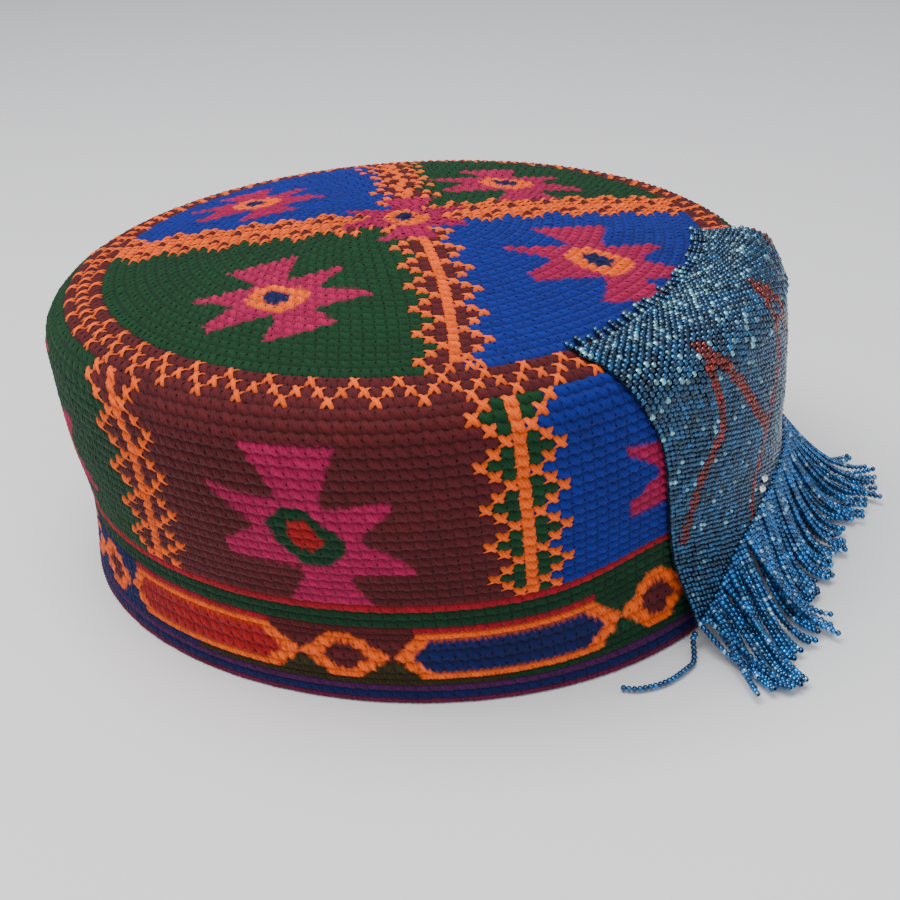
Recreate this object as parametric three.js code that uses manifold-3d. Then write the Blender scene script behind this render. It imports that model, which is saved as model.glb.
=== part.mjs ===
// A crocheted pillbox cap with a bead-woven panel draped over one side.
// Millimetres, +Z up, the cap standing on its hem. The photograph looks at it from -Y.
import * as THREE from 'three';
import { mergeVertices } from 'three/addons/utils/BufferGeometryUtils.js';
import Module from 'manifold-3d';

const solids = await Module();
solids.setup();

// The cap's outline, from the hem up over the shoulder to the middle of the crown
const hemRadius = 91.8;
const bulgeRadius = 98;
const bulgeHeight = 73;
const crownEdgeRadius = 87;
const shoulderHeight = 83;
const shoulderTurn = THREE.MathUtils.degToRad(75);
const crownHeight = 93.5;
const fabricThickness = 3;

// The cap is a little oval, one way at the hem and the other way at the crown, and leans back
const ovalAxis = THREE.MathUtils.degToRad(-29);
const hemOval = 0.042;
const crownOval = -0.033;
const leanRight = 0.8;
const leanBack = 1.5;

// Depth of each crocheted piece, measured along the outline from the hem
const hemDepth = 6;
const bandDepth = 24;
const wallDepth = 54;
const borderDepth = 14;
const seamGap = 0.3;

// The bead panel lies on the cap from the crown's edge down, then hangs clear of the side
const panelThickness = 1.8;
const panelClearance = 0.4;
const panelCrownLap = 3;
const panelFootDepth = 15;
const panelCornerDrop = 9;

// Down the panel in equal steps: its left and right edges in degrees about the cap's axis, and
// how far those edges stand off the cap, as shares of the cap's greatest radius
const panelSections = [
  { left: -65, right: 12, standLeft: 0, standRight: 0 },
  { left: -61, right: 12, standLeft: 0, standRight: 0.03 },
  { left: -55, right: 11, standLeft: 0, standRight: 0.08 },
  { left: -52, right: 9, standLeft: 0, standRight: 0.1 },
  { left: -49, right: 7, standLeft: 0.005, standRight: 0.13 },
  { left: -46.5, right: 4, standLeft: 0.04, standRight: 0.17 },
];
const standCurve = 1.5;

// The fringe: a head along the panel's foot, and locks of strands that fall to the surface
const headDepth = 3;
const strandDiameter = 2;
const lockCount = 16;
const lockShare = 0.86;
const lockFall = 3;
const surfaceClearance = 0.3;

// Along the fringe in equal steps: the way the strands run from the panel's foot, in degrees seen
// from above, and how far out they reach, as shares of the longest
const longestReach = 33;
const fringeRuns = [
  { heading: -62, share: 0.86 },
  { heading: -64, share: 0.94 },
  { heading: -58, share: 0.75 },
  { heading: -51, share: 0.6 },
  { heading: -35, share: 0.52 },
  { heading: -15, share: 0.56 },
  { heading: 2, share: 0.8 },
  { heading: 12, share: 1 },
];

// One strand has come away at the panel's left corner and curls along the hem. These are the
// chosen points of its route on the surface: the angle about the cap's axis in degrees, and how
// far from the hem they are, in strand diameters.
const strayRoute = [
  { angle: -50, away: 4.3 },
  { angle: -52, away: 5 },
  { angle: -56.5, away: 5.6 },
  { angle: -60.5, away: 4.9 },
  { angle: -62.5, away: 3.5 },
];

// Fineness of the faceted solids
const turnCount = 64;
const hemCutCount = 2;
const bandCutCount = 3;
const wallCutCount = 6;
const borderCutCount = 6;
const crownCutCount = 8;
const panelCutCountAcross = 12;
const panelCutCountDown = 30;
const headCutCount = 14;
const lockCutCount = 6;
const straySideCount = 8;
const strayCutCount = 20;

const hemTop = hemDepth;
const bandTop = hemTop + bandDepth;
const wallTop = bandTop + wallDepth;
const borderTop = wallTop + borderDepth;

const outline = new THREE.Path();
outline.moveTo(hemRadius, 0);
outline.splineThru([
  new THREE.Vector2(hemRadius - 0.05 * (bulgeRadius - hemRadius), 0.34 * bulgeHeight),
  new THREE.Vector2(hemRadius + 0.64 * (bulgeRadius - hemRadius), 0.67 * bulgeHeight),
  new THREE.Vector2(bulgeRadius, bulgeHeight),
]);
outline.absellipse(
  crownEdgeRadius, bulgeHeight,
  bulgeRadius - crownEdgeRadius, shoulderHeight - bulgeHeight,
  0, shoulderTurn, false,
);
outline.quadraticCurveTo(outline.currentPoint.x / 2, crownHeight, 0, crownHeight);
const outlineLength = outline.getLength();

// A point of the outline at a depth from the hem, moved out along its normal by an offset
function outlinePoint(depth, offset) {
  const share = THREE.MathUtils.clamp(depth / outlineLength, 0, 1);
  const point = outline.getPointAt(share);
  const along = outline.getTangentAt(share);
  return new THREE.Vector2(point.x + along.y * offset, point.y - along.x * offset);
}

// Turns a radius and height of the round outline into a point of the oval, leaning cap
function onCap(radius, height, angle) {
  const rise = height / shoulderHeight;
  const oval = THREE.MathUtils.lerp(hemOval, crownOval, rise);
  const reach = radius * (1 + oval * Math.cos(2 * (angle - ovalAxis)));
  return new THREE.Vector3(
    reach * Math.cos(angle) + leanRight * rise,
    reach * Math.sin(angle) + leanBack * rise,
    height,
  );
}

function yarn(color) {
  return new THREE.MeshStandardMaterial({ color, roughness: 0.95, metalness: 0 });
}

function glassBeads(color) {
  return new THREE.MeshStandardMaterial({ color, roughness: 0.25, metalness: 0.1 });
}

function piece(name, geometry, material) {
  const mesh = new THREE.Mesh(geometry, material);
  mesh.name = name;
  return mesh;
}

// A crocheted piece: a ring of fabric between two depths of the outline, or the whole crown
function crocheted(from, to, steps) {
  const outer = [];
  const inner = [];
  for (let i = 0; i <= steps; i += 1) {
    const depth = THREE.MathUtils.lerp(from, to, i / steps);
    outer.push(outlinePoint(depth, 0));
    inner.unshift(outlinePoint(depth, -fabricThickness));
  }
  if (from === 0) {
    inner.at(-1).y = 0;
  }
  let section = [...outer, ...inner, outer[0]];
  if (to === outlineLength) {
    outer.at(-1).x = 0;
    inner[0].x = 0;
    section = [...inner, ...outer];
  }
  const geometry = new THREE.LatheGeometry(section, turnCount);
  geometry.rotateX(Math.PI / 2);
  const position = geometry.attributes.position;
  for (let i = 0; i < position.count; i += 1) {
    const radius = Math.hypot(position.getX(i), position.getY(i));
    const angle = Math.atan2(position.getY(i), position.getX(i));
    const point = onCap(radius, position.getZ(i), angle);
    position.setXYZ(i, point.x, point.y, point.z);
  }
  return geometry;
}

// A closed slab between two skins. pointAt takes the shares across and down, and which skin:
// 1 for the outside and -1 for the inside.
function slab(pointAt, across, down) {
  const rowLength = across + 1;
  const skinSize = rowLength * (down + 1);
  const points = [];
  for (const skin of [1, -1]) {
    for (let j = 0; j <= down; j += 1) {
      for (let i = 0; i <= across; i += 1) {
        points.push(pointAt(i / across, j / down, skin));
      }
    }
  }
  const faces = [];
  const quad = (a, b, c, d) => faces.push(a, b, c, a, c, d);
  for (let j = 0; j < down; j += 1) {
    for (let i = 0; i < across; i += 1) {
      const a = j * rowLength + i;
      const c = a + rowLength;
      quad(a, c, c + 1, a + 1);
      quad(skinSize + a, skinSize + a + 1, skinSize + c + 1, skinSize + c);
    }
    const left = j * rowLength;
    const right = left + across;
    quad(left, skinSize + left, skinSize + left + rowLength, left + rowLength);
    quad(right, right + rowLength, skinSize + right + rowLength, skinSize + right);
  }
  for (let i = 0; i < across; i += 1) {
    const foot = down * rowLength + i;
    quad(i, i + 1, skinSize + i + 1, skinSize + i);
    quad(foot, skinSize + foot, skinSize + foot + 1, foot + 1);
  }
  const geometry = new THREE.BufferGeometry().setFromPoints(points);
  geometry.setIndex(faces);
  return geometry;
}

const panelEdges = new THREE.CatmullRomCurve3(
  panelSections.map(({ left, right }) => new THREE.Vector3(left, right, 0)),
);
const panelStand = new THREE.CatmullRomCurve3(
  panelSections.map(({ standLeft, standRight }) => new THREE.Vector3(standLeft, standRight, 0)),
);

// A point of the panel's middle surface, lifted by some millimetres; past its foot, beyond is
// how much further down the point lies
function panelPoint(across, down, lift, beyond = 0) {
  const edges = panelEdges.getPoint(down);
  const stand = panelStand.getPoint(down);
  const angle = THREE.MathUtils.degToRad(THREE.MathUtils.lerp(edges.x, edges.y, across));
  const standShare = THREE.MathUtils.lerp(stand.x, stand.y, across ** standCurve);
  const foot = panelFootDepth - panelCornerDrop * (1 - across) ** 2;
  const depth = THREE.MathUtils.lerp(borderTop + panelCrownLap, foot, down) - beyond;
  const offset = panelClearance + panelThickness / 2 + standShare * bulgeRadius + lift;
  const point = outlinePoint(depth, offset);
  return onCap(point.x, point.y, angle);
}

function beadPanel() {
  const pointAt = (across, down, skin) => panelPoint(across, down, skin * panelThickness / 2);
  return slab(pointAt, panelCutCountAcross, panelCutCountDown);
}

function headPoint(across, share, lift) {
  return panelPoint(across, 1, lift, seamGap + share * headDepth);
}

const layingHeight = surfaceClearance + strandDiameter / 2;

const runCurve = new THREE.CatmullRomCurve3(
  fringeRuns.map(({ heading, share }) => new THREE.Vector3(heading, share, 0)),
);

// A point of the fringe's skirt: along goes from inside the head, down to the surface, to the tips
function skirtPoint(across, along, lift) {
  const root = headPoint(across, 0.5, 0);
  const run = runCurve.getPoint(across);
  const heading = THREE.MathUtils.degToRad(run.x);
  const reach = along * longestReach * run.y;
  return new THREE.Vector3(
    root.x + reach * Math.cos(heading),
    root.y + reach * Math.sin(heading),
    THREE.MathUtils.lerp(layingHeight, root.z, (1 - along) ** lockFall) + lift,
  );
}

// The skirt is parted into locks of strands. Each lock is a strip of it, a little narrower than
// its share of the head, so that neighbours don't touch.
function lock(number) {
  return slab((side, along, skin) => {
    const across = (number + 0.5 + (side - 0.5) * lockShare) / lockCount;
    return skirtPoint(across, along, skin * strandDiameter / 2);
  }, 1, lockCutCount);
}

function toSolid(geometry) {
  const bare = new THREE.BufferGeometry();
  bare.setAttribute('position', geometry.attributes.position);
  bare.setIndex(geometry.index);
  const merged = mergeVertices(bare);
  return new solids.Manifold(new solids.Mesh({
    numProp: 3,
    vertProperties: new Float32Array(merged.attributes.position.array),
    triVerts: new Uint32Array(merged.index.array),
  }));
}

function fromSolid(solid) {
  const mesh = solid.getMesh();
  const geometry = new THREE.BufferGeometry();
  geometry.setAttribute('position', new THREE.BufferAttribute(mesh.vertProperties, 3));
  geometry.setIndex(new THREE.BufferAttribute(mesh.triVerts, 1));
  return geometry;
}

function beadFringe() {
  const headAt = (across, down, skin) => headPoint(across, down, skin * panelThickness / 2);
  let fringe = toSolid(slab(headAt, headCutCount, 1));
  for (let number = 0; number < lockCount; number += 1) {
    fringe = fringe.add(toSolid(lock(number)));
  }
  return fromSolid(fringe);
}

function strayStrand() {
  const corner = headPoint(0, 0.5, 0);
  const outward = corner.clone().sub(headPoint(0.02, 0.5, 0)).normalize();
  const start = corner.clone().addScaledVector(outward, seamGap);
  const bend = corner.clone().addScaledVector(outward, strandDiameter);
  const laid = strayRoute.map(({ angle, away }) => {
    const radius = hemRadius + away * strandDiameter;
    return onCap(radius, 0, THREE.MathUtils.degToRad(angle)).setZ(layingHeight);
  });
  const route = new THREE.CatmullRomCurve3([start, bend, ...laid]);
  const section = new THREE.Shape();
  section.absarc(0, 0, strandDiameter / 2, 0, 2 * Math.PI, false);
  return new THREE.ExtrudeGeometry(section, {
    steps: strayCutCount,
    curveSegments: straySideCount,
    extrudePath: route,
    bevelEnabled: false,
  });
}

const cap = new THREE.Group();
cap.add(
  piece('hem_edge', crocheted(0, hemTop, hemCutCount), yarn('#2a1450')),
  piece('head_band', crocheted(hemTop + seamGap, bandTop, bandCutCount), yarn('#b3202a')),
  piece('side_wall', crocheted(bandTop + seamGap, wallTop, wallCutCount), yarn('#5a1d22')),
  piece('rim_border', crocheted(wallTop + seamGap, borderTop, borderCutCount), yarn('#e2672f')),
  piece('crown', crocheted(borderTop + seamGap, outlineLength, crownCutCount), yarn('#14492a')),
  piece('bead_panel', beadPanel(), glassBeads('#245a7a')),
  piece('bead_fringe', beadFringe(), glassBeads('#1b5a90')),
  piece('stray_strand', strayStrand(), glassBeads('#1f5f86')),
);

// The origin is the middle of the whole thing's box, on the surface that it stands on
const box = new THREE.Box3().setFromObject(cap);
const middle = box.getCenter(new THREE.Vector3());
cap.position.set(-middle.x, -middle.y, -box.min.z);

const traditionalHat = new THREE.Group();
traditionalHat.add(cap);

export default traditionalHat;
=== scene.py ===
import math

import bpy
import numpy as np
from mathutils import Matrix, Vector


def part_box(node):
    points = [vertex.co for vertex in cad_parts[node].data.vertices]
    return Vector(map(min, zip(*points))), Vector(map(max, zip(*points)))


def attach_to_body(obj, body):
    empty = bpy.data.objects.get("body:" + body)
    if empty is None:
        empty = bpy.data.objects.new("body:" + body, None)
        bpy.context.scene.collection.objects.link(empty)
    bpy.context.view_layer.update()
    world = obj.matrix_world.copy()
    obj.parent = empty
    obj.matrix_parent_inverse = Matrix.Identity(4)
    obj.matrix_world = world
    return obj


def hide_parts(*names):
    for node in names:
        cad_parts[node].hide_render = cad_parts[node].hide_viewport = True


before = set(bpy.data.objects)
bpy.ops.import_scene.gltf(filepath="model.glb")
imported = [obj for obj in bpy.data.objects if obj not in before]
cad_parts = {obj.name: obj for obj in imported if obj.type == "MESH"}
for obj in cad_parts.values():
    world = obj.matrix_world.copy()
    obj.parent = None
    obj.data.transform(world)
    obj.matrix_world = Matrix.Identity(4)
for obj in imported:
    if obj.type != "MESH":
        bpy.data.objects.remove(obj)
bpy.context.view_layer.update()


# ---------------------------------------------------------------------------------------------
# The hem. The cap is crocheted in one, of acrylic yarn, and three narrow rounds finish its edge:
# plum at the very bottom, then navy, then purple. The lowest round curls over to the inside.

# the outline that every round of the cap is laid on, in metres, as the solids were turned from it
hem_radius = 0.0918
bulge_radius = 0.098
bulge_height = 0.073
crown_edge_radius = 0.087
shoulder_height = 0.083
crown_height = 0.0935
fabric_thickness = 0.003
# seen from above the cap is a little oval, and it leans slightly to the right and to the back
oval_axis = math.radians(-29)
hem_oval, crown_oval = 0.042, -0.033
lean_right, lean_back = 0.0008, 0.0015
hem_low, hem_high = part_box("hem_edge")
cap_x, cap_y = (hem_low[0] + hem_high[0]) / 2, (hem_low[1] + hem_high[1]) / 2


def smooth_run(knots, steps):
    """A smooth line through the knots, with this many steps between each two."""
    knots = np.asarray(knots, float)
    before = np.vstack([knots[:1], knots[:-1]])
    after = np.vstack([knots[1:], knots[-1:]])
    slope = (after - before) / 2
    line = []
    for i in range(len(knots) - 1):
        t = np.linspace(0, 1, steps, endpoint=False)[:, None]
        a, b, va, vb = knots[i], knots[i + 1], slope[i], slope[i + 1]
        line.append(
            (2 * a - 2 * b + va + vb) * t**3 + (3 * b - 3 * a - 2 * va - vb) * t**2 + va * t + a
        )
    line.append(knots[-1:])
    return np.vstack(line)


# the side draws in at the waist and flares to the bulge, as shares of the swell and the height
waist_in, waist_height = 0.05, 0.34
flare_out, flare_height = 0.64, 0.67
side_steps, shoulder_steps, crown_steps = 150, 120, 200
shoulder_end = 75
swell = bulge_radius - hem_radius
side_line = smooth_run([
    (hem_radius, 0),
    (hem_radius - waist_in * swell, waist_height * bulge_height),
    (hem_radius + flare_out * swell, flare_height * bulge_height),
    (bulge_radius, bulge_height),
], side_steps)
shoulder_turn = np.radians(np.linspace(0, shoulder_end, shoulder_steps))[1:, None]
shoulder_line = np.hstack([
    crown_edge_radius + (bulge_radius - crown_edge_radius) * np.cos(shoulder_turn),
    bulge_height + (shoulder_height - bulge_height) * np.sin(shoulder_turn),
])
inward = np.linspace(0, 1, crown_steps)[1:, None]
rim = shoulder_line[-1]
crown_line = (
    (1 - inward) ** 2 * rim
    + 2 * inward * (1 - inward) * np.array([rim[0] / 2, crown_height])
    + inward**2 * np.array([0, crown_height])
)
# the whole outline from the hem to the middle of the crown, its length so far and its direction
cap_line = np.vstack([side_line, shoulder_line, crown_line])
cap_run = np.concatenate([[0], np.cumsum(np.hypot(*np.diff(cap_line, axis=0).T))])
cap_length = cap_run[-1]
cap_way = np.gradient(cap_line, cap_run, axis=0)
cap_way /= np.hypot(*cap_way.T)[:, None]


def cap_radius(depth):
    """The cap's radius at a depth, which is a length along the outline from the hem."""
    return np.interp(depth, cap_run, cap_line[:, 0])


def on_cap(angle, depth, proud):
    """The place at an angle about the cap's axis and a depth along its outline, and standing
    proud of it by so much."""
    angle, depth, proud = np.broadcast_arrays(angle, depth, proud)
    radius = cap_radius(depth) + proud * np.interp(depth, cap_run, cap_way[:, 1])
    height = np.interp(depth, cap_run, cap_line[:, 1])
    height = height - proud * np.interp(depth, cap_run, cap_way[:, 0])
    rise = height / shoulder_height
    oval = hem_oval + (crown_oval - hem_oval) * rise
    reach = radius * (1 + oval * np.cos(2 * (angle - oval_axis)))
    return np.stack([
        cap_x + reach * np.cos(angle) + lean_right * rise,
        cap_y + reach * np.sin(angle) + lean_back * rise,
        height,
    ], -1)


# the yarn's dyes
dyes = {
    "maroon": (0.1, 0.007, 0.01),
    "blue": (0.002, 0.015, 0.24),
    "green": (0.001, 0.043, 0.01),
    "magenta": (0.4, 0.004, 0.07),
    "orange": (1.0, 0.125, 0.006),
    "crimson": (0.36, 0.003, 0.014),
    "scarlet": (0.36, 0.003, 0.006),
    "navy": (0.002, 0.006, 0.075),
    "dark_green": (0.001, 0.035, 0.009),
    "olive": (0.03, 0.02, 0.003),
    "purple": (0.07, 0.005, 0.075),
    "plum": (0.16, 0.006, 0.05),
}
# a row drifts this share of a stitch to the left of the one below it, and swells from a groove
# inside the outline to a ridge outside it
row_drift = 0.105
groove, ridge = -0.0007, 0.0002
ridge_sharpness = 0.6
groove_width = 0.02
# the one seeded source of all that varies from stitch to stitch and from bead to bead
chance = np.random.default_rng(5)
# beside the bead panel the rows rise, and at the far left the fabric is twisted, in degrees at
# depths in millimetres
panel_side, panel_side_width = math.radians(-52), math.radians(13)
rise_depths, rise_shares, most_rise = (0, 0.024, 0.084), (0, 1, 0), 0.005
far_left, far_left_width = math.radians(-137), math.radians(14)
twist_depths = (0, 13, 28.6, 40, 50, 65, 75, 84)
twist_degrees = (-1.5, -2.2, -2.8, 0.5, 2.6, 3.8, 3.4, 0)


def half_turn(angle):
    """The angle as it lies within half a turn of zero."""
    return (angle + math.pi) % (2 * math.pi) - math.pi


def worked(angle, depth):
    """Where the fabric lies, with its rise by the panel and its twist at the far left."""
    off = half_turn(angle - panel_side)
    share = np.interp(depth, rise_depths, rise_shares)
    rise = most_rise * share * np.exp(-((off / panel_side_width) ** 2))
    off = half_turn(angle - far_left)
    twist = np.interp(depth * 1000, twist_depths, twist_degrees)
    return angle + np.radians(twist) * np.exp(-((off / far_left_width) ** 2)), depth + rise


def row_form(v):
    """How far a row swells at a share of its height, from 0 in the groove to 1 on the ridge."""
    return np.sin(np.pi * np.clip(v, groove_width, 1 - groove_width)) ** ridge_sharpness


# a stitch shows two strands: one falls to the right over another that rises to the right. Each
# has the way it leans, its faces across, half its width as a share of the stitch, the lift of its
# middle and its lightness, painted lower on the strand beneath, as shade
strands = ((-1, 3, 0.33, 0.0002, 1.0), (1, 2, 0.3, -0.00006, 0.88))
strand_faces = 4
# how far a strand runs across, in stitches, and up, in rows, from a little below its row, and how
# much of its width it has at its ends and gains in its middle
strand_run, strand_rise, strand_start = 0.96, 1.14, -0.07
strand_ends, strand_gain = 0.78, 0.22
# a stitch that stands alone in another colour is slimmer and stands out
lone_width, lone_lift = 0.74, 0.00012
# yarn is painted darker into the groove and towards a strand's edges, as shade; the edges also dip
painted_groove_light, painted_ridge_light, painted_edge_shade, edge_dip = 0.45, 0.55, 0.25, 0.0001
# the bed under the strands has its dye painted darker as shade, most in the groove
painted_bed_groove_light, painted_bed_ridge_light, bed_depth = 0.4, 0.34, 0.00015
# the inside of the fabric is painted darker, as shade
bed_faces, painted_lining_light = 3, 0.7
lift_varies, tone_varies, place_varies = 0.00004, 0.08, 0.03
# the fabric ends just above the surface, and no stitch is narrower than at this radius
fabric_end, least_radius = 0.00005, 0.0008


class Crochet:
    """One crocheted piece: the strands of its stitches, the bed under them in painted shade
    and the inside of the fabric, collected round by round."""

    def __init__(self):
        self.points, self.faces, self.dyed, self.marks, self.size = [], [], [], [], 0

    def add(self, points, quads, dyed, marks):
        """More faces, with a colour in painted shade and a mark for each of their points."""
        self.points.append(points.reshape(-1, 3))
        self.faces.append(quads + self.size)
        self.dyed.append(dyed.reshape(-1, 3))
        self.marks.append(marks.reshape(-1, 2))
        self.size += len(self.points[-1])

    def patches(
        self, angles, pitch, low, tall, u, v, proud, shade, dyed, paint, jog=0.0, turned=False
    ):
        """One like patch in every stitch of a round, at shares u, v of the stitch. jog moves each
        of them aside, and a turned patch faces the inside of the cap."""
        count, (rows, cols) = len(angles), u.shape[-2:]
        angle = angles[:, None, None] + (u + jog) * pitch
        depth = np.clip(low + v * tall + 0 * angle, fabric_end, cap_length)
        points = on_cap(*worked(angle, depth), proud)
        colours = np.broadcast_to(dyed[:, None, None], angle.shape + (3,))
        if paint:
            colours = paint(angle, depth, colours)
        marks = np.broadcast_to(np.stack([u * 2, v], -1), (count, rows, cols, 2))
        i = (np.arange(rows - 1)[:, None] * cols + np.arange(cols - 1)[None]).ravel()
        quad = np.stack([i, i + 1, i + cols + 1, i + cols], -1)
        if turned:
            quad = quad[:, ::-1]
        faces = (quad[None] + (np.arange(count) * rows * cols)[:, None, None]).reshape(-1, 4)
        marks = marks + chance.random((count, 1, 1, 2))
        self.add(points, faces, colours * shade[..., None], marks)

    def round(self, low, high, angles, pitch, names, paint=None):
        """One round: angles are the left edges of its stitches and names their dyes. A stitch
        named "orange on maroon" stands alone and lets the maroon show beside its strands. paint,
        where it is given, colours a pattern's edge through the stitches that it crosses."""
        count, tall = len(angles), high - low
        width = pitch * max(float(cap_radius((low + high) / 2)), least_radius)
        dyed = np.array([dyes[name.split(" on ")[0]] for name in names])
        bed = np.array([dyes[name.split(" on ")[-1]] for name in names])
        slim = np.where([" on " in name for name in names], lone_width, 1.0)[:, None, None]
        for side, across, thick, over, light in strands:
            # a runs along the strand, b across it
            a = np.linspace(0, 1, strand_faces + 1)[:, None]
            b = np.linspace(-1, 1, across + 1)[None, :]
            run_u, run_v = side * strand_run, strand_rise
            length = math.hypot(run_u * width, run_v * tall)
            wide = slim * thick * (strand_ends + strand_gain * np.sin(np.pi * a))
            u = 0.5 + run_u * (a - 0.5) + b * wide * run_v * tall / length
            v = strand_start + run_v * a - b * wide * run_u * width / length * width / tall
            form = row_form(v)
            proud = groove + (ridge - groove) * form + over * form * (1 - b**2)
            proud = proud - edge_dip * b**2 + lone_lift * (slim < 1)
            lift = chance.normal(0, lift_varies, (count, 1, 1))
            tone = 1 + chance.normal(0, tone_varies, (count, 1, 1))
            # painted shade: darker in the groove, towards the strand's edges and on the strand
            # beneath
            shade = (painted_groove_light + painted_ridge_light * form) * (1 - painted_edge_shade * b**2) * light
            self.patches(
                angles, pitch, low, tall, u, v, proud + lift, shade * tone, dyed, paint,
                chance.normal(0, place_varies, (count, 1, 1)),
            )
        # the bed under the strands, in painted shade, and the inside of the fabric
        v = np.linspace(0, 1, bed_faces + 1)[:, None] + np.zeros((1, 2))
        u = np.zeros((bed_faces + 1, 1)) + np.array([[0.0, 1.0]])
        proud = groove - bed_depth + (ridge - groove - lone_lift) * row_form(v)
        shade = painted_bed_groove_light + painted_bed_ridge_light * row_form(v)
        self.patches(angles, pitch, low, tall, u, v, proud, shade, bed, paint)
        # the inside of the fabric, its dye painted darker as shade
        lining = np.full((2, 2), -fabric_thickness)
        painted_lining_shade = np.full((2, 2), painted_lining_light)
        u, v = u[[0, -1]], v[[0, -1]]
        self.patches(angles, pitch, low, tall, u, v, lining, painted_lining_shade, bed, paint, 0.0, True)

    def finished(self, name, material):
        """All the rounds together, as one piece."""
        return make_mesh(
            name, np.vstack(self.points), np.vstack(self.faces), material,
            np.vstack(self.dyed), np.vstack(self.marks),
        )


def make_mesh(name, points, faces, material, dyed=None, marks=None):
    """A smooth mesh with a colour for each point, its dye with the yarn's painted shade and the
    beads' painted glint on it, and, for yarn, marks of where each point lies on its strand."""
    mesh = bpy.data.meshes.new(name)
    corners = faces.shape[1]
    mesh.vertices.add(len(points))
    mesh.vertices.foreach_set("co", np.ascontiguousarray(points, np.float32).ravel())
    mesh.loops.add(faces.size)
    mesh.loops.foreach_set("vertex_index", faces.astype(np.int32).ravel())
    mesh.polygons.add(len(faces))
    mesh.polygons.foreach_set("loop_start", np.arange(len(faces), dtype=np.int32) * corners)
    mesh.update(calc_edges=True)
    mesh.polygons.foreach_set("use_smooth", np.ones(len(faces), bool))
    # the dye attribute holds each point's dye with its painted shade and painted glint
    if dyed is not None:
        layer = mesh.color_attributes.new(name="dye", type="FLOAT_COLOR", domain="POINT")
        rgba = np.hstack([np.clip(dyed, 0, 1), np.ones((len(dyed), 1))])
        layer.data.foreach_set("color", rgba.astype(np.float32).ravel())
    if marks is not None:
        uv = mesh.uv_layers.new(name="yarn_run")
        uv.data.foreach_set("uv", marks[faces.ravel()].astype(np.float32).ravel())
    mesh.update()
    thing = bpy.data.objects.new(name, mesh)
    bpy.context.scene.collection.objects.link(thing)
    mesh.materials.append(material)
    return thing


def plain_material(name):
    """A new material, with its nodes, its links and its surface to work on."""
    material = bpy.data.materials.new(name)
    material.use_nodes = True
    nodes, links = material.node_tree.nodes, material.node_tree.links
    return material, nodes, links, nodes["Principled BSDF"]


def yarn_material():
    """Soft acrylic yarn: the dye of each stitch with its painted shade, plies that wind round the
    strand with painted light and shade on them, and loose fibres."""
    material, nodes, links, surface = plain_material("acrylic_yarn")
    # the dye attribute: each stitch's dye with its painted shade
    dye = nodes.new("ShaderNodeAttribute")
    dye.attribute_name = "dye"
    place = nodes.new("ShaderNodeTexCoord")
    fibres = nodes.new("ShaderNodeTexNoise")
    fibres.inputs["Scale"].default_value = 1500
    fibres.inputs["Detail"].default_value = 3
    links.new(place.outputs["Object"], fibres.inputs["Vector"])
    uneven_dye = nodes.new("ShaderNodeTexNoise")
    uneven_dye.inputs["Scale"].default_value = 60
    uneven_dye.inputs["Detail"].default_value = 2
    links.new(place.outputs["Object"], uneven_dye.inputs["Vector"])
    run = nodes.new("ShaderNodeUVMap")
    run.uv_map = "yarn_run"
    plies = nodes.new("ShaderNodeTexWave")
    plies.wave_type, plies.bands_direction = "BANDS", "DIAGONAL"
    plies.inputs["Scale"].default_value = 1.1
    plies.inputs["Distortion"].default_value = 1.2
    plies.inputs["Detail"].default_value = 1
    links.new(run.outputs["UV"], plies.inputs["Vector"])

    def ranged(source, low, high):
        """The source, which runs from 0 to 1, made to run from low to high."""
        node = nodes.new("ShaderNodeMapRange")
        node.inputs["To Min"].default_value = low
        node.inputs["To Max"].default_value = high
        links.new(source, node.inputs["Value"])
        return node.outputs["Result"]

    def product(x, y):
        """The two sources multiplied."""
        node = nodes.new("ShaderNodeMath")
        node.operation = "MULTIPLY"
        links.new(x, node.inputs[0])
        links.new(y, node.inputs[1])
        return node.outputs[0]

    fibre_tone = ranged(fibres.outputs["Fac"], 0.72, 1.28)
    # the plies' bands paint the colour lighter on each ply and darker between them, as light and
    # shade
    painted_ply_shade = ranged(plies.outputs["Fac"], 0.84, 1.1)
    dye_tone = ranged(uneven_dye.outputs["Fac"], 0.8, 1.2)
    tone = product(product(fibre_tone, painted_ply_shade), dye_tone)
    tinted = nodes.new("ShaderNodeVectorMath")
    tinted.operation = "SCALE"
    links.new(dye.outputs["Color"], tinted.inputs[0])
    links.new(tone, tinted.inputs["Scale"])
    links.new(tinted.outputs["Vector"], surface.inputs["Base Color"])
    links.new(ranged(fibres.outputs["Fac"], 0.62, 0.88), surface.inputs["Roughness"])
    bumps = nodes.new("ShaderNodeBump")
    bumps.inputs["Strength"].default_value = 0.5
    bumps.inputs["Distance"].default_value = 0.00035
    height = nodes.new("ShaderNodeMath")
    height.operation = "MULTIPLY_ADD"
    height.inputs[1].default_value = 0.55
    links.new(plies.outputs["Fac"], height.inputs[0])
    links.new(fibres.outputs["Fac"], height.inputs[2])
    links.new(height.outputs[0], bumps.inputs["Height"])
    links.new(bumps.outputs["Normal"], surface.inputs["Normal"])
    surface.inputs["Sheen Weight"].default_value = 0.05
    surface.inputs["Sheen Roughness"].default_value = 0.45
    surface.inputs["Specular IOR Level"].default_value = 0.2
    return material


yarn = yarn_material()


def attach(thing, node):
    """The piece stands in for the solid of that name, on the hat's one body."""
    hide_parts(node)
    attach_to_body(thing, "root")


# the hem's own rounds, which have as many stitches as the head band that stands on them
band_count = 189
band_pitch = 2 * math.pi / band_count
band_start = math.radians(-108.7)
hem_foot = 0.0002
hem = Crochet()
for row, (dye, low, high) in enumerate([
    ("plum", hem_foot, 0.0014), ("navy", 0.0014, 0.0036), ("purple", 0.0036, 0.0054),
]):
    angles = band_start + (np.arange(band_count) - row_drift * row) * band_pitch
    hem.round(low, high, angles, band_pitch, [dye] * band_count)
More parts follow.
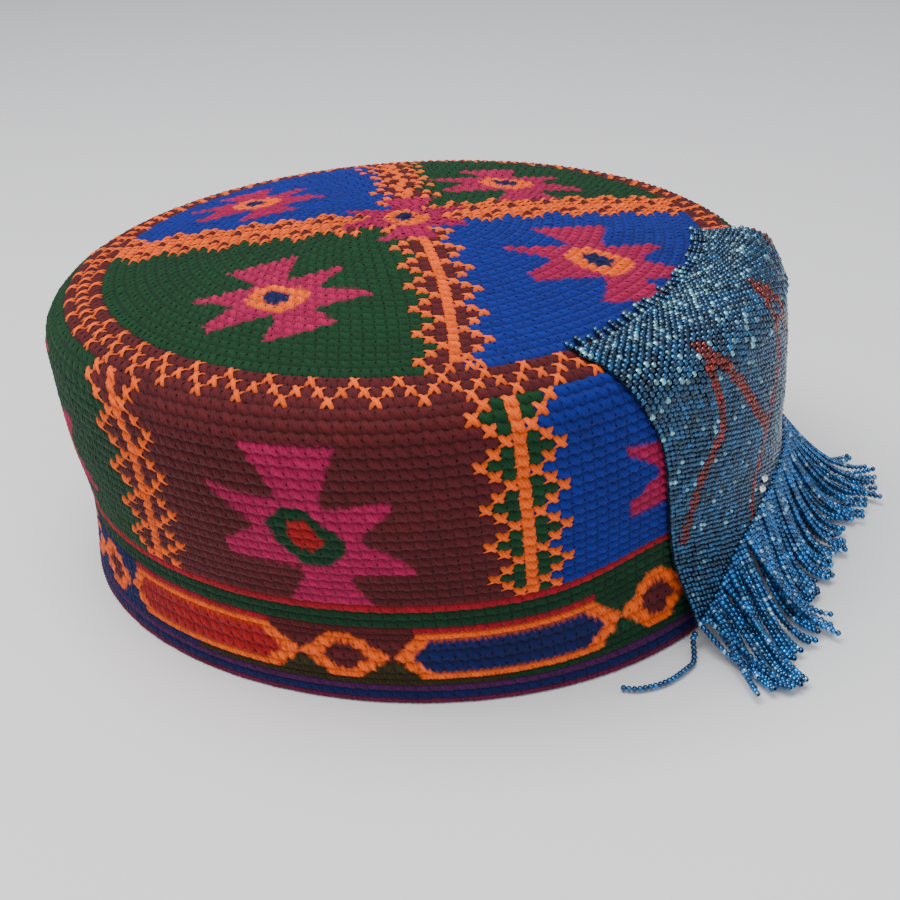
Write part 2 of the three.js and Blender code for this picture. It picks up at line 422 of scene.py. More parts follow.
# the lowest round's curl: a flat ring just above the surface, from the strands to the inside
# curl_shade paints the curl's plum darker, as shade
curl_outer, curl_height, curl_shade = -0.0006, 0.00012, 0.8
curl_angles = band_start + np.arange(band_count) * band_pitch
curl = np.stack([
    on_cap(curl_angles, hem_foot, curl_outer),
    on_cap(curl_angles, hem_foot, -fabric_thickness),
    on_cap(curl_angles + band_pitch, hem_foot, -fabric_thickness),
    on_cap(curl_angles + band_pitch, hem_foot, curl_outer),
], 1)
curl[..., 2] = curl_height
hem.add(
    curl, np.arange(band_count)[:, None] * 4 + np.array([0, 1, 2, 3])[None],
    np.tile(np.array(dyes["plum"]) * curl_shade, (band_count * 4, 1)),
    np.tile([[0.0, 0.0], [0.0, 1.0], [1.0, 1.0], [1.0, 0.0]], (band_count, 1)),
)
attach(hem.finished("hem_rounds", yarn), "hem_edge")


# ---------------------------------------------------------------------------------------------
# The head band. Ten crocheted rounds of yarn on top of the hem: seven repeats of a small diamond
# and a long hexagon, outlined in orange and filled by turns with red, navy and green, and above
# them two green rounds and a crimson one.
band_edges = np.array([5.4, 7, 8.6, 11.9, 15.2, 18.5, 20.1, 21.9, 24.2, 26.5, 28.6]) / 1000
# rows below these numbers: turned to olive on maroon, patterned, green
olive_below, pattern_below, green_below = 3, 7, 9
# the row whose stitches start at the band's first angle; the others drift from it
drift_row = 3
# the stitches in a repeat, the hexagon's middle stitch and where the next diamond begins
repeat_stitches, hexagon_middle, diamond_edge = 27, 16, 26.1
band_fills = ["navy", "scarlet", "navy", "scarlet", "dark_green", "navy", "scarlet"]
band_grounds = ["maroon", "dark_green", "maroon", "maroon", "maroon", "maroon", "navy"]
# the outlines of one repeat, in stitches across and millimetres up from the hem
band_shapes = [
    ([(7, 13.4), (9.4, 20.2), (23.8, 20.2), (26.3, 13.4), (23.8, 6.9), (9.4, 6.9)], "orange"),
    ([(8.6, 13.4), (10.2, 18.2), (23, 18.2), (24.7, 13.4), (23, 8.9), (10.2, 8.9)], "fill"),
    ([(-0.8, 13.4), (1.9, 20), (3.9, 20), (6.9, 13.4), (4, 7), (2, 7)], "orange"),
    ([(1, 13.4), (2.4, 17.4), (3.5, 17.4), (5.1, 13.4), (3.6, 9.6), (2.4, 9.6)], "maroon"),
    ([(9.2, 20.2), (24, 20.2), (24, 21.8), (9.2, 21.8)], "crimson"),
]


def inside(u, v, outline):
    """Which of the places u, v lie inside a closed outline."""
    found = np.zeros(np.shape(u), bool)
    for (au, av), (bu, bv) in zip(outline, outline[1:] + outline[:1]):
        if av != bv:
            found ^= ((av > v) != (bv > v)) & (u < au + (v - av) / (bv - av) * (bu - au))
    return found


def band_paint(angle, depth, colours):
    """The head band's colours, with the hexagons and diamonds laid over them."""
    row = np.interp(depth, band_edges, np.arange(len(band_edges)))
    stitch = (angle - band_start) / band_pitch + row_drift * (row - drift_row - 0.5)
    repeat, place = np.divmod(stitch, repeat_stitches)
    fills = np.array([dyes[name] for name in band_fills])[repeat.astype(int) % len(band_fills)]
    # a diamond begins a little before its repeat does
    place = np.where(place > diamond_edge, place - repeat_stitches, place)
    colours = np.array(colours)
    for outline, dye in band_shapes:
        found = inside(place, depth * 1000, outline)
        colours[found] = fills[found] if dye == "fill" else dyes[dye]
    return colours


band = Crochet()
for row in range(len(band_edges) - 1):
    names = []
    for column in range(band_count):
        repeat, place = divmod(column, repeat_stitches)
        # a ground runs from the middle of one hexagon to the middle of the next
        if place >= hexagon_middle:
            repeat = (repeat + 1) % len(band_grounds)
        ground = band_grounds[repeat]
        if row < olive_below and ground == "maroon":
            ground = "olive"
        if row >= pattern_below:
            ground = "dark_green" if row < green_below else "crimson"
        names.append(ground)
    angles = band_start + (np.arange(band_count) - row_drift * (row - drift_row)) * band_pitch
    band.round(
        band_edges[row], band_edges[row + 1], angles, band_pitch, names,
        band_paint if 0 < row < pattern_below else None,
    )
attach(band.finished("head_band_rounds", yarn), "head_band")


# ---------------------------------------------------------------------------------------------
# The side. Twenty crocheted rounds of yarn, a little taller towards the top, in six panels of
# plain colour. Each panel has a magenta star with a ringed heart, and between the panels stands an
# orange stem with leaves.
wall_count, wall_rows = 192, 20
wall_pitch = 2 * math.pi / wall_count
wall_start = math.radians(-133.9)
wall_foot, first_row, row_growth = 0.0286, 0.00242, 0.0000368
wall_steps = np.arange(wall_rows + 1)
wall_edges = (
    wall_foot + first_row * wall_steps + row_growth * wall_steps * (wall_steps - 1) / 2
)
wall_panels, wall_panel_stitches = 6, 32
wall_grounds = ["maroon", "blue", "green"] * 2
leaf_dyes = ["maroon", "green"] * 3
# one turn of leaves, row by row, from the stem out: G leaf, O orange, . the panel's ground
leaf_turns = ["GO.", "O..", "GO.", "GGO"]
# the star stands this many stitches into its panel, and is this many rows tall
star_left, star_rows = 9, 18
# its outlines, counted in stitches and rows from its lower left corner
star_outline = [
    (4, 17), (11, 17), (9.4, 13.2), (9, 12), (9.3, 11.3), (14, 12), (14, 11), (12, 9.4), (11.2, 8),
    (14, 6), (15, 4), (10, 4), (9.6, 3.4), (11, 0), (4, 0), (6, 3.4), (6, 4.8), (0.2, 5),
    (0, 6.8), (1.5, 7.6), (3.2, 9), (2, 10.4), (0, 12.2), (0, 13), (2.2, 12.3), (6, 11.9),
    (5.6, 13.2),
]
ring_outline = [
    (5.8, 11.2), (7.4, 11.3), (10.2, 8.2), (9.9, 6.6), (8, 4.9), (6.6, 5), (4.9, 7.2), (4.4, 9.4),
]
heart_outline = [(6.1, 9.8), (7.5, 9.9), (8.6, 8), (7.7, 6.7), (6.5, 7), (5.9, 8.2)]


def with_star(colours, u, v, ring, heart):
    """The colours with a star laid over them; u and v count stitches and rows."""
    colours = np.array(colours)
    colours[inside(u, v, star_outline)] = dyes["magenta"]
    for outline, dye in ((ring_outline, ring), (heart_outline, heart)):
        found = inside(u, v, outline)
        colours[found] = dye[found]
    return colours


def wall_paint(angle, depth, colours):
    """The side's colours with each panel's star. A maroon panel's star has a green ring and a
    red heart, the others an orange ring and a navy heart."""
    row = np.interp(depth, wall_edges, wall_steps)
    stitch = (angle - wall_start) / wall_pitch + 0.5 + row_drift * row
    number, place = np.divmod(stitch, wall_panel_stitches)
    on_maroon = (number % (wall_panels // 2) == 0)[..., None]
    ring = np.where(on_maroon, dyes["dark_green"], dyes["orange"])
    heart = np.where(on_maroon, dyes["scarlet"], dyes["navy"])
    return with_star(colours, place - star_left, row, ring, heart)


wall = Crochet()
for row in range(wall_rows):
    names = []
    for column in range(wall_count):
        number, place = divmod(column, wall_panel_stitches)
        ground = dye = wall_grounds[number]
        # the nearest stem, and how many stitches away it is
        stem, away = number, place
        if place >= wall_panel_stitches // 2:
            stem, away = (number + 1) % wall_panels, place - wall_panel_stitches
        if away == 0:
            dye = "orange"
        elif abs(away) <= len(leaf_turns[0]):
            turn = leaf_turns[(row if away > 0 else row + 1) % len(leaf_turns)]
            code = turn[abs(away) - 1]
            dye = {"O": "orange on " + ground, "G": leaf_dyes[stem], ".": ground}[code]
        names.append(dye)
    angles = wall_start + (np.arange(wall_count) - 0.5 - row_drift * row) * wall_pitch
    wall.round(
        wall_edges[row], wall_edges[row + 1], angles, wall_pitch, names,
        wall_paint if row < star_rows else None,
    )
attach(wall.finished("side_rounds", yarn), "side_wall")


# ---------------------------------------------------------------------------------------------
# The border over the shoulder. Four crocheted rounds of yarn where the side turns into the crown:
# maroon with an orange zigzag of single stitches, and a last round that already takes the crown's
# colours.
border_count = 224
border_pitch = 2 * math.pi / border_count
border_start = math.radians(-101.9)
# row by row, four stitches of the zigzag: O orange, . maroon
border_rows = ["O...", ".O.O", "..O.", "...."]
# the depth where the crown starts, and the radius of the border's last round
crown_start, border_top_radius = 0.098, 0.0865
border_tall = (crown_start - wall_edges[-1]) / len(border_rows)
# the crown's four arms of orange and maroon: the angle at the middle, the angle at the rim, as
# an arm turns a little on its way out, and which of the two leaf repeats it has
arms = [(284, 275.6, 0), (10, 20, 1), (90, 95, 0), (189, 173, 1)]
# the arms end at this radius, are this far apart at least, and from this radius on their stem is
# of single stitches
arm_reach, arm_apart, lone_stem_from = 0.088, 1.2, 0.079
# row by row, from the stem out: M maroon, O orange, . the quarter's ground
arm_turns = [["O..", "MO.", "MMO", "MO."], ["OO.", "MOO", "OMO", "OO."]]
crown_stitch = 0.0027


def arm_angle(arm, radius):
    """The angle at which an arm's stem lies at a radius."""
    turned = (arm[1] - arm[0] + 180) % 360 - 180
    return math.radians(arm[0] + turned * radius / arm_reach)


def crown_dye(radius, angle, row):
    """The dye of a stitch of the crown: an arm's, or that of the green or blue quarter."""
    quarter = math.degrees(angle) % 360
    front, right, back, left = (math.degrees(arm_angle(arm, radius)) % 360 for arm in arms)
    ground = "green"
    if quarter >= front or quarter < right or back <= quarter < left:
        ground = "blue"
    for arm in arms:
        off = half_turn(angle - arm_angle(arm, radius))
        aside = round(off * radius / crown_stitch)
        leaves = arm_turns[arm[2]]
        if abs(off) < arm_apart and abs(aside) <= len(leaves[0]):
            if aside == 0:
                return "orange" if radius < lone_stem_from else "orange on maroon"
            # the leaves on one side stand two rows off those on the other
            code = leaves[(row if aside > 0 else row + 2) % len(leaves)][abs(aside) - 1]
            if code != ".":
                return "orange on " + ground if code == "O" else "maroon"
    return ground


border = Crochet()
for row, codes in enumerate(border_rows):
    angles = border_start + (np.arange(border_count) - 0.5 - row_drift * row) * border_pitch
    zigzag = (codes * border_count)[:border_count]
    names = ["orange on maroon" if code == "O" else "maroon" for code in zigzag]
    if row == len(border_rows) - 1:
        names = [crown_dye(border_top_radius, angle + border_pitch / 2, -1) for angle in angles]
    low = wall_edges[-1] + row * border_tall
    border.round(low, low + border_tall, angles, border_pitch, names)
attach(border.finished("border_rounds", yarn), "rim_border")


# ---------------------------------------------------------------------------------------------
# The crown. Twenty-eight crocheted rounds of yarn, worked towards the middle with ever fewer
# stitches: two green and two blue quarters, parted by the arms, with a star in each quarter and
# one in the middle. The last few stitches draw the middle together.
crown_rows = 28
drawn_together, fewest_stitches = 0.0012, 6
crown_tall = (cap_length - drawn_together - crown_start) / crown_rows
# each star's distance from the middle, the angle it lies at, its tilt and its scale
star_places = [
    (0.0585, 329.6, 17, 0.97), (0.045, 50.5, 15, 0.85), (0.056, 143, 15, 0.8),
    (0.0535, 234.6, 17, 0.82), (0.0, 0.0, 0, 0.72),
]
# the width of a stitch and the height of a row in a star of scale 1, and the star's middle
star_stitch, star_row = 0.0032, 0.00277
star_middle = (7.4, 8.4)


def crown_paint(angle, depth, colours):
    """The crown's colours, with the stars laid over them."""
    radius = cap_radius(depth)
    orange = np.broadcast_to(dyes["orange"], colours.shape)
    navy = np.broadcast_to(dyes["navy"], colours.shape)
    for far, where, tilt, scale in star_places:
        dx = radius * np.cos(angle) - far * math.cos(math.radians(where))
        dy = radius * np.sin(angle) - far * math.sin(math.radians(where))
        c, s = math.cos(math.radians(tilt)), math.sin(math.radians(tilt))
        u = (dx * c + dy * s) / (star_stitch * scale)
        v = (dy * c - dx * s) / (star_row * scale)
        colours = with_star(colours, u + star_middle[0], v + star_middle[1], orange, navy)
    return colours


crown = Crochet()
for row in range(crown_rows):
    low = crown_start + row * crown_tall
    radius = float(cap_radius(low + crown_tall / 2))
    count = max(fewest_stitches, round(2 * math.pi * radius / crown_stitch))
    pitch = 2 * math.pi / count
    start = arm_angle(arms[0], radius)
    angles = start + (np.arange(count) - 0.5) * pitch
    names = [crown_dye(radius, angle + pitch / 2, row) for angle in angles]
    crown.round(low, low + crown_tall, angles, pitch, names, crown_paint)
attach(crown.finished("crown_rounds", yarn), "crown")


# ---------------------------------------------------------------------------------------------
# The bead panel. A weave of steel-blue lustred seed beads with red zigzag lines and two white
# beads, worked in staggered columns on dark thread. It is laid over the crown's edge and hangs
# down the side, and it stands off the side at its far lower corner.

# the angles of the left and right edges from the top down, in degrees, and how far each stands
# off the cap, as a share of the bulge's radius
panel_left = smooth_run([[v] for v in (-67.5, -62, -55, -52, -49, -46.5)], 20)[:, 0]
panel_right = smooth_run([[v] for v in (12, 12, 11, 9, 7, 4)], 20)[:, 0]
stand_left = smooth_run([[v] for v in (0, 0, 0, 0, 0.005, 0.04)], 20)[:, 0]
stand_right = smooth_run([[v] for v in (0, 0.03, 0.08, 0.1, 0.13, 0.17)], 20)[:, 0]
panel_thickness, panel_clearance, panel_lap = 0.0018, 0.0004, 0.003
panel_foot, panel_corner_drop = 0.015, 0.009
panel_steps = np.linspace(0, 1, len(panel_left))


def on_panel(across, down, lift=0.0, beyond=0.0):
    """The place on the panel at a share across from its left edge and a share down from its
    top, lifted off its middle layer and moved beyond it towards the hem."""
    left = np.interp(down, panel_steps, panel_left)
    right = np.interp(down, panel_steps, panel_right)
    near = np.interp(down, panel_steps, stand_left)
    far = np.interp(down, panel_steps, stand_right)
    side = np.clip(across, 0, 1)
    stand = near + (far - near) * side**1.5
    foot = panel_foot - panel_corner_drop * (1 - side) ** 2
    top = crown_start + panel_lap
    depth = top + (foot - top) * down - beyond
    proud = panel_clearance + panel_thickness / 2 + stand * bulge_radius + lift
    return on_cap(np.radians(left + (right - left) * across), depth, proud)


def bead_mesh(name, centres, axes, radii, lengths, dyed, material, sides=6):
    """Seed beads: short barrels with rounded ends, each along its own axis."""
    axes = axes / np.linalg.norm(axes, axis=1)[:, None]
    helper = np.where(np.abs(axes[:, 2:3]) < 0.9, [[0, 0, 1.0]], [[1.0, 0, 0]])
    one = np.cross(axes, helper)
    one /= np.linalg.norm(one, axis=1)[:, None]
    two = np.cross(axes, one)
    turns = 2 * np.pi * np.arange(sides) / sides
    cos, sin = np.cos(turns)[None, :, None], np.sin(turns)[None, :, None]
    around = cos * one[:, None] + sin * two[:, None]
    # four rings along a bead: its place as a share of the length, its size as one of the radius
    rings = np.array([(-0.5, 0.5), (-0.24, 1.0), (0.24, 1.0), (0.5, 0.5)])
    along, wide = rings[:, 0][None, :, None, None], rings[:, 1][None, :, None, None]
    points = (
        centres[:, None, None]
        + axes[:, None, None] * (along * lengths[:, None, None, None])
        + around[:, None] * (wide * radii[:, None, None, None])
    )
    ring = np.arange(len(rings) - 1)[:, None] * sides
    i, j = ring + np.arange(sides)[None], ring + (np.arange(sides)[None] + 1) % sides
    quad = np.stack([i, j, j + sides, i + sides], -1).reshape(-1, 4)
    corners = len(rings) * sides
    faces = (quad[None] + (np.arange(len(centres)) * corners)[:, None, None]).reshape(-1, 4)
    colours = np.repeat(dyed, corners, axis=0)
    return make_mesh(name, points.reshape(-1, 3), faces[:, ::-1], material, colours)


def bead_material(name):
    """Lustred glass: a deep colour under a bright, slightly uneven metallic skin."""
    material, nodes, links, surface = plain_material(name)
    # the dye attribute: each bead's dye with its painted glint
    dye = nodes.new("ShaderNodeAttribute")
    dye.attribute_name = "dye"
    place = nodes.new("ShaderNodeTexCoord")
    uneven = nodes.new("ShaderNodeTexNoise")
    uneven.inputs["Scale"].default_value = 900
    uneven.inputs["Detail"].default_value = 2
    links.new(place.outputs["Object"], uneven.inputs["Vector"])
    tone = nodes.new("ShaderNodeMapRange")
    tone.inputs["To Min"].default_value = 0.6
    tone.inputs["To Max"].default_value = 1.4
    links.new(uneven.outputs["Fac"], tone.inputs["Value"])
    tinted = nodes.new("ShaderNodeVectorMath")
    tinted.operation = "SCALE"
    links.new(dye.outputs["Color"], tinted.inputs[0])
    links.new(tone.outputs["Result"], tinted.inputs["Scale"])
    links.new(tinted.outputs["Vector"], surface.inputs["Base Color"])
    rough = nodes.new("ShaderNodeMapRange")
    rough.inputs["To Min"].default_value = 0.12
    rough.inputs["To Max"].default_value = 0.34
    links.new(uneven.outputs["Fac"], rough.inputs["Value"])
    links.new(rough.outputs["Result"], surface.inputs["Roughness"])
    bumps = nodes.new("ShaderNodeBump")
    bumps.inputs["Strength"].default_value = 0.2
    bumps.inputs["Distance"].default_value = 0.0001
    links.new(uneven.outputs["Fac"], bumps.inputs["Height"])
    links.new(bumps.outputs["Normal"], surface.inputs["Normal"])
    surface.inputs["Metallic"].default_value = 0.7
    surface.inputs["Coat Weight"].default_value = 0.6
    surface.inputs["Coat Roughness"].default_value = 0.08
    return material


glass = bead_material("lustred_glass")
bead_columns, bead_rows = 76, 66
bead_blue = np.array([0.004, 0.052, 0.125])
# the silvery tint of the glint painted on some beads
painted_glint_tint = np.array([0.16, 0.36, 0.44])
bead_red = np.array([0.15, 0.008, 0.006])
bead_white = np.array([0.85, 0.83, 0.78])
white_radius, white_length, white_lift = 0.00125, 0.0024, 0.0006
# the weave's size before its top and foot are trimmed, and in it the courses of the red lines and
# the places of the white beads, as shares across and down
panel_wide, panel_tall = 0.105, 0.09
red_line_width = 0.0016
red_lines = [
    [
        (0.045, 0.745), (0.053, 0.72), (0.108, 0.581), (0.196, 0.473), (0.199, 0.313),
        (0.212, 0.227),
    ],
    [(0.212, 0.227), (0.303, 0.409), (0.441, 0.616)],
    [(0.54, 0.221), (0.514, 0.283), (0.535, 0.414), (0.441, 0.616), (0.358, 0.878)],
    [(0.54, 0.221), (0.64, 0.4), (0.77, 0.616)],
    [(0.87, 0.221), (0.845, 0.283), (0.865, 0.414), (0.77, 0.616), (0.69, 0.878)],
    [(0.87, 0.221), (1.0, 0.45)],
]
white_places = [(0.454, 0.79), (0.4335, 0.814)]


def near_line(across, down, line, reach):
    """Which of the places on the panel lie within a reach of a bent line."""
    near = np.zeros(across.shape, bool)
    px, py = across * panel_wide, down * panel_tall
    for (ax, ay), (bx, by) in zip(line, line[1:]):
        ax, bx, ay, by = ax * panel_wide, bx * panel_wide, ay * panel_tall, by * panel_tall
        span = (bx - ax) ** 2 + (by - ay) ** 2
        t = np.clip(((px - ax) * (bx - ax) + (py - ay) * (by - ay)) / span, 0, 1)
        near |= np.hypot(px - ax - t * (bx - ax), py - ay - t * (by - ay)) < reach
    return near


# the top edge runs lower at both ends, and the foot rises towards the right
trim_across = (0, 0.035, 0.12, 0.27, 0.45, 0.6, 0.82, 0.845, 0.88, 1)
trim_down = (0.115, 0.1, 0.09, 0.068, 0.054, 0.056, 0.062, 0.17, 0.25, 0.32)
foot_across, foot_down = (0, 0.1, 0.235, 0.45, 0.7, 1), (1, 0.965, 0.905, 0.86, 0.85, 0.87)
# each column of beads is shifted against the one beside it
column_shift, shift_reach, column_top = 0.36, 0.8, 0.1
column = np.arange(bead_columns)[None, :]
line = np.arange(bead_rows)[:, None]
across = ((column + 0.5) / bead_columns + 0 * line).ravel()
down = ((line + column_top + (column * column_shift) % 1 * shift_reach) / bead_rows).ravel()
kept = down > np.interp(across, trim_across, trim_down)
kept &= down < np.interp(across, foot_across, foot_down)
across, down = across[kept], down[kept]
# the beads on the top edge stand out in little fingers, three or four beads long, which slant
finger_start, finger_end, finger_pitch, finger_bead = 0.012, 0.83, 0.026, 0.0135
finger_slant, slant_varies = 0.002, 0.0015
for finger in np.arange(finger_start, finger_end, finger_pitch):
    edge = np.interp(finger, trim_across, trim_down)
    tips = edge - np.arange(3 + int(chance.integers(0, 2))) * finger_bead
    slant = chance.normal(finger_slant, slant_varies)
    across = np.append(across, finger + np.arange(len(tips)) * slant)
    down = np.append(down, tips)
# no two beads sit, lean or shine quite alike; their shine is a painted glint in their colour
sit_varies, lean_varies, size_varies, glint_varies = 0.00008, 0.12, 0.06, 0.8
centres = on_panel(across, down, chance.normal(0, sit_varies, across.shape))
# the weave's own course at each bead gives the bead's axis and its size
step = 0.004
axes = on_panel(across + step, down) - on_panel(across - step, down)
pitch_across = np.linalg.norm(axes, axis=1) / (2 * step) / bead_columns
falls = on_panel(across, down + step) - on_panel(across, down - step)
pitch_down = np.linalg.norm(falls, axis=1) / (2 * step) / bead_rows
lean = chance.normal(0, lean_varies, axes.shape)
axes = axes + lean * np.linalg.norm(axes, axis=1)[:, None]
is_red = np.zeros(across.shape, bool)
for red_line in red_lines:
    is_red |= near_line(across, down, red_line, red_line_width)
# how much of its pitch along the row a bead fills, and its radius as a share of the row's pitch
bead_fill, bead_girth = 0.94, 0.55
sizes = 1 + chance.normal(0, size_varies, across.shape)
lengths, radii = pitch_across * bead_fill * sizes, pitch_down * bead_girth * sizes
# each bead's colour is scaled by a painted glint of its own
least_glint = 0.4
glint = (least_glint + np.abs(chance.normal(0, glint_varies, across.shape)))[:, None]
tones = np.where(is_red[:, None], bead_red, bead_blue) * glint
# some beads carry a silvery painted glint, and more of them near the top, where the panel lies
# flat
painted_glint_share, more_glints_near_top, top_ends = 0.04, 0.2, 0.4
near_top = np.clip(1 - down / top_ends, 0, 1)
bright = (chance.random(across.shape) < painted_glint_share + more_glints_near_top * near_top) & ~is_red
tones[bright] = painted_glint_tint * (0.35 + 1.1 * chance.random(bright.sum()))[:, None]
is_white = np.zeros(across.shape, bool)
for x, y in white_places:
    nearest = np.argmin(np.hypot((across - x) * panel_wide, (down - y) * panel_tall))
    is_white[nearest], centres[nearest] = True, on_panel(x, y, white_lift)
tones[is_white], radii[is_white], lengths[is_white] = bead_white, white_radius, white_length
for name, chosen in (
    ("panel_blue_beads", ~is_red & ~is_white),
    ("panel_red_beads", is_red),
    ("panel_white_beads", is_white),
):
    beads = bead_mesh(
        name, centres[chosen], axes[chosen], radii[chosen], lengths[chosen], tones[chosen], glass
    )
    attach(beads, "bead_panel")
# the dark threads under the beads, which lie so close that one thin sheet stands for them
thread, nodes, links, surface = plain_material("dark_thread")
place = nodes.new("ShaderNodeTexCoord")
weave = nodes.new("ShaderNodeTexNoise")
weave.inputs["Scale"].default_value = 1200
links.new(place.outputs["Object"], weave.inputs["Vector"])
tint = nodes.new("ShaderNodeValToRGB")
tint.color_ramp.elements[0].color = (0.004, 0.012, 0.022, 1)
tint.color_ramp.elements[1].color = (0.012, 0.04, 0.065, 1)
links.new(weave.outputs["Fac"], tint.inputs["Fac"])
links.new(tint.outputs["Color"], surface.inputs["Base Color"])
surface.inputs["Roughness"].default_value = 0.8
net_meshes, net_depth = 60, 0.0003
net_shares = np.linspace(0, 1, net_meshes + 1)
net_across, net_down = np.meshgrid(net_shares, net_shares)
net_top = np.interp(net_across, trim_across, trim_down)
net_down = net_top + (np.interp(net_across, foot_across, foot_down) - net_top) * net_down
net_points = on_panel(net_across, net_down, -net_depth).reshape(-1, 3)
across_net = net_meshes + 1
i = (np.arange(net_meshes)[:, None] * across_net + np.arange(net_meshes)[None]).reshape(-1)
net_faces = np.stack([i + across_net, i + across_net + 1, i + 1, i], -1)
net = make_mesh("panel_threads", net_points, net_faces, thread)
attach(net, "bead_panel")


# ---------------------------------------------------------------------------------------------
# The fringe. Strands of the same glass beads in a deeper blue are tied to the panel's foot, on its
# own threads, and lie out over the surface in a loose heap.
bead_pitch = 0.00135
bead_length = bead_pitch * bead_fill
strand_radius = 0.00078
# the fringe's blue, and the pale tint of the glint painted on some of its beads
fringe_blue, fringe_glint_tint = np.array([0.008, 0.11, 0.3]), np.array([0.2, 0.4, 0.6])
# from left to right along the foot: the strands' headings in degrees, and their shares of the
# longest reach
fringe_heading = smooth_run([[v] for v in (-62, -64, -58, -51, -35, -15, 2, 12)], 20)[:, 0]
fringe_share = smooth_run([[v] for v in (0.86, 0.94, 0.75, 0.6, 0.52, 0.56, 0.8, 1)], 20)[:, 0]
fringe_steps = np.linspace(0, 1, len(fringe_heading))
longest_reach, laying_height = 0.03102, 0.0013
strand_count, bunch = 104, 4
strand_points = 40
# a strand is rooted a little above the foot, in one of three layers, and reaches further where
# the foot is higher
root_inset, root_lift, root_layers, fall_share = 0.012, 0.0004, 3, 0.1
# how its bend grows and its height falls along it, how strands pile up, and how its tip lifts
bend_grows, height_falls, strand_pile, tip_lift = 1.5, 2.6, 0.0013, 0.0016
# how much the bunches, and the strands within one, vary in heading and bend, in degrees, and in
# reach
bunch_varies, strand_varies = (4, 13, 0.05), (3.5, 5, 0.04)


def strung(path, pitch):
    """Bead centres and axes, evenly strung along a path."""
    run = np.concatenate([[0], np.cumsum(np.linalg.norm(np.diff(path, axis=0), axis=1))])
    at = np.arange(pitch / 2, run[-1], pitch)
    centres = np.stack([np.interp(at, run, path[:, k]) for k in range(3)], -1)
    ahead = np.stack([np.interp(at + pitch / 3, run, path[:, k]) for k in range(3)], -1)
    behind = np.stack([np.interp(at - pitch / 3, run, path[:, k]) for k in range(3)], -1)
    return centres, ahead - behind


# strands lie in bunches of four that share a heading and a bend, one over another
all_centres, all_axes = [], []
for number in range(strand_count):
    share = (number + 0.5) / strand_count
    if number % bunch == 0:
        bunch_turn, bunch_bend, bunch_reach = (chance.normal(0, most) for most in bunch_varies)
    start = np.interp(share, foot_across, foot_down) - root_inset
    root = on_panel(share, start, root_lift + root_lift * (number % root_layers))
    fall = np.linalg.norm(on_panel(share, 1.0) - root)
    heading = np.interp(share, fringe_steps, fringe_heading) + bunch_turn
    heading = heading + chance.normal(0, strand_varies[0])
    reach = longest_reach * np.interp(share, fringe_steps, fringe_share)
    reach = reach * (1 + bunch_reach + chance.normal(0, strand_varies[2])) + fall_share * fall
    # its course as seen from above
    along = np.linspace(0, 1, strand_points)
    bend = math.radians(bunch_bend + chance.normal(0, strand_varies[1]))
    course = np.radians(heading) + bend * along**bend_grows
    stride = reach / (strand_points - 1)
    x = root[0] + np.concatenate([[0], np.cumsum(np.cos(course[1:]) * stride)])
    y = root[1] + np.concatenate([[0], np.cumsum(np.sin(course[1:]) * stride)])
    # its height: it drops from the root to the surface, or to the strands that it lies on
    layer = (number * 3 % bunch) * strand_pile
    pile = layer * np.sin(np.pi * along**0.7) ** 1.2 + tip_lift * along**5
    z = laying_height + (root[2] - laying_height) * (1 - along) ** height_falls + pile
    centres, axes = strung(np.stack([x, y, z], -1), bead_pitch)
    all_centres.append(centres)
    all_axes.append(axes)
centres, axes = np.vstack(all_centres), np.vstack(all_axes)
# each bead's colour is scaled by a painted glint, and some beads carry a pale painted glint
fringe_glint_varies, fringe_glint_share = 0.9, 0.1
glint = least_glint + np.abs(chance.normal(0, fringe_glint_varies, len(centres)))
tones = fringe_blue * glint[:, None]
pale = chance.random(len(centres)) < fringe_glint_share
tones[pale] = fringe_glint_tint * (0.5 + chance.random(pale.sum()))[:, None]
fringe = bead_mesh(
    "fringe_strands", centres, axes, np.full(len(centres), strand_radius),
    np.full(len(centres), bead_length), tones, glass,
)
attach(fringe, "bead_fringe")


# ---------------------------------------------------------------------------------------------
# The stray strand. One strand of the same glass beads has come away from the others at the panel's
# left corner, where it is still tied, and curls along the hem on the surface.
stray_blue = np.array([0.008, 0.075, 0.2])
# its course after the corner: an angle about the cap, and how far from the hem in 2 mm strides
stray_course = ((-50, 4.3), (-52, 5), (-56.5, 5.6), (-60.5, 4.9), (-62.5, 3.5))
stray_stride, stray_drop, stray_sides, stray_steps = 0.002, 0.0018, 8, 12
stray_tied, stray_out = 0.0003, 0.002
corner = on_panel(0.0, 1.0, 0.0, stray_drop)
inner = on_panel(0.02, 1.0, 0.0, stray_drop)
outward = (corner - inner) / np.linalg.norm(corner - inner)
route = [corner + outward * stray_tied, corner + outward * stray_out]
for degrees, away in stray_course:
    angle, radius = math.radians(degrees), hem_radius + away * stray_stride
    radius *= 1 + hem_oval * math.cos(2 * (angle - oval_axis))
    x, y = cap_x + radius * math.cos(angle), cap_y + radius * math.sin(angle)
    route.append(np.array([x, y, laying_height]))
centres, axes = strung(smooth_run(route, stray_steps), bead_pitch)
# each bead's colour is scaled by a painted glint
stray_least_glint = 0.5
glint = stray_least_glint + np.abs(chance.normal(0, glint_varies, len(centres)))
tones = stray_blue * glint[:, None]
stray = bead_mesh(
    "stray_strand_beads", centres, axes, np.full(len(centres), strand_radius),
    np.full(len(centres), bead_length), tones, glass, stray_sides,
)
attach(stray, "stray_strand")


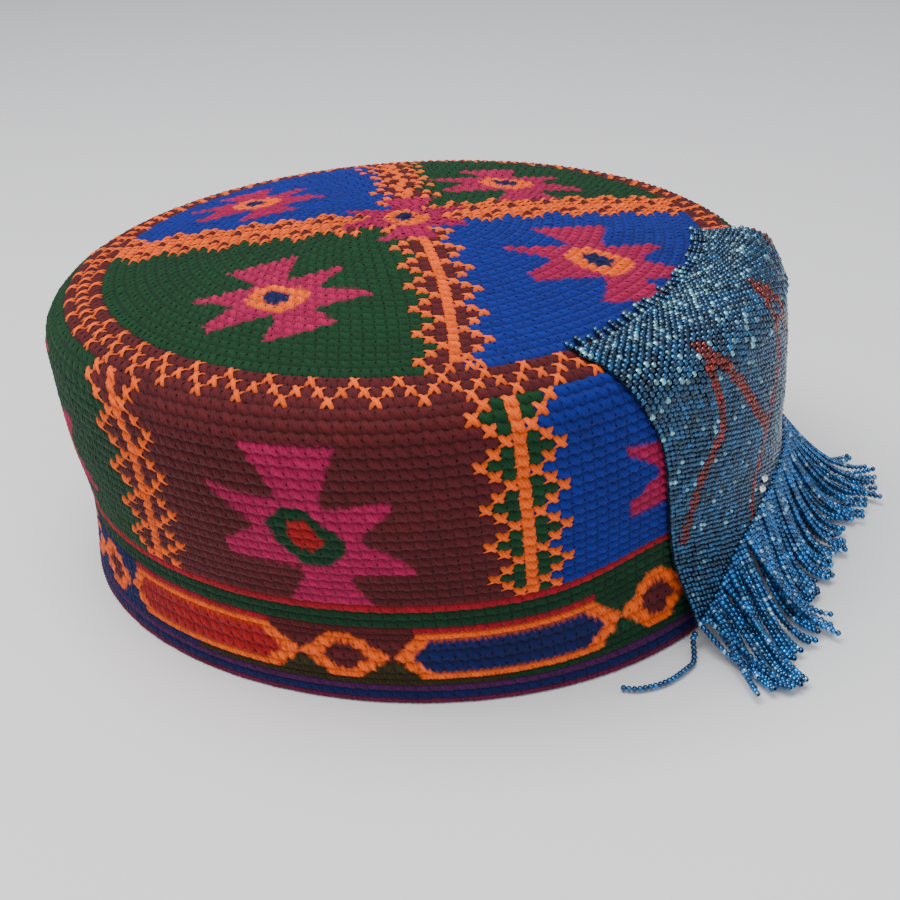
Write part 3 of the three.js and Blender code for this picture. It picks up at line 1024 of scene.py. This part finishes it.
# ---------------------------------------------------------------------------------------------
# The camera, the floor and the lamps. The camera stands at the photograph's angle, as it was
# fitted to the hat's outline; a plain pale floor and two soft lamps take the place of the
# surroundings, and show the hat only.
camera_away, camera_height = 0.37785, 0.21494
camera_data = bpy.data.cameras.new("camera")
camera_data.sensor_width = 36
camera_data.lens = 58.4
camera = bpy.data.objects.new("camera", camera_data)
bpy.context.scene.collection.objects.link(camera)
right = Vector((0.99836, -0.04442, -0.03618))
up = Vector((0.05235, 0.45081, 0.89108))
back = Vector((-0.02327, -0.89151, 0.45240))
camera.matrix_world = Matrix((
    (right.x, up.x, back.x, cap_x),
    (right.y, up.y, back.y, cap_y - camera_away),
    (right.z, up.z, back.z, camera_height),
    (0, 0, 0, 1),
))
bpy.context.scene.camera = camera

# the surface that the hat rests on
floor_mesh = bpy.data.meshes.new("floor")
floor_mesh.from_pydata([(-4, -3, 0), (4, -3, 0), (4, 6, 0), (-4, 6, 0)], [], [(0, 1, 2, 3)])
floor = bpy.data.objects.new("floor", floor_mesh)
bpy.context.scene.collection.objects.link(floor)
floor_material, nodes, links, surface = plain_material("pale_floor")
surface.inputs["Base Color"].default_value = (0.86, 0.86, 0.87, 1)
surface.inputs["Roughness"].default_value = 0.9
floor_mesh.materials.append(floor_material)

world = bpy.data.worlds.new("studio")
world.use_nodes = True
world.node_tree.nodes["Background"].inputs["Color"].default_value = (0.85, 0.9, 1.0, 1)
world.node_tree.nodes["Background"].inputs["Strength"].default_value = 0.45
bpy.context.scene.world = world


def lamp(name, place, target, size, watts, colour):
    """A square soft lamp at a place, turned towards a target."""
    data = bpy.data.lights.new(name, "AREA")
    data.shape, data.size, data.energy, data.color = "SQUARE", size, watts, colour
    thing = bpy.data.objects.new(name, data)
    bpy.context.scene.collection.objects.link(thing)
    thing.location = place
    thing.rotation_euler = (Vector(target) - Vector(place)).to_track_quat("-Z", "Y").to_euler()


lamp("window", (-0.3, -0.15, 1.05), (0, 0, 0.05), 0.9, 17, (1.0, 0.98, 0.95))
lamp("fill", (0.5, -1.0, 0.6), (0, 0, 0.05), 1.0, 4.5, (0.9, 0.95, 1.0))
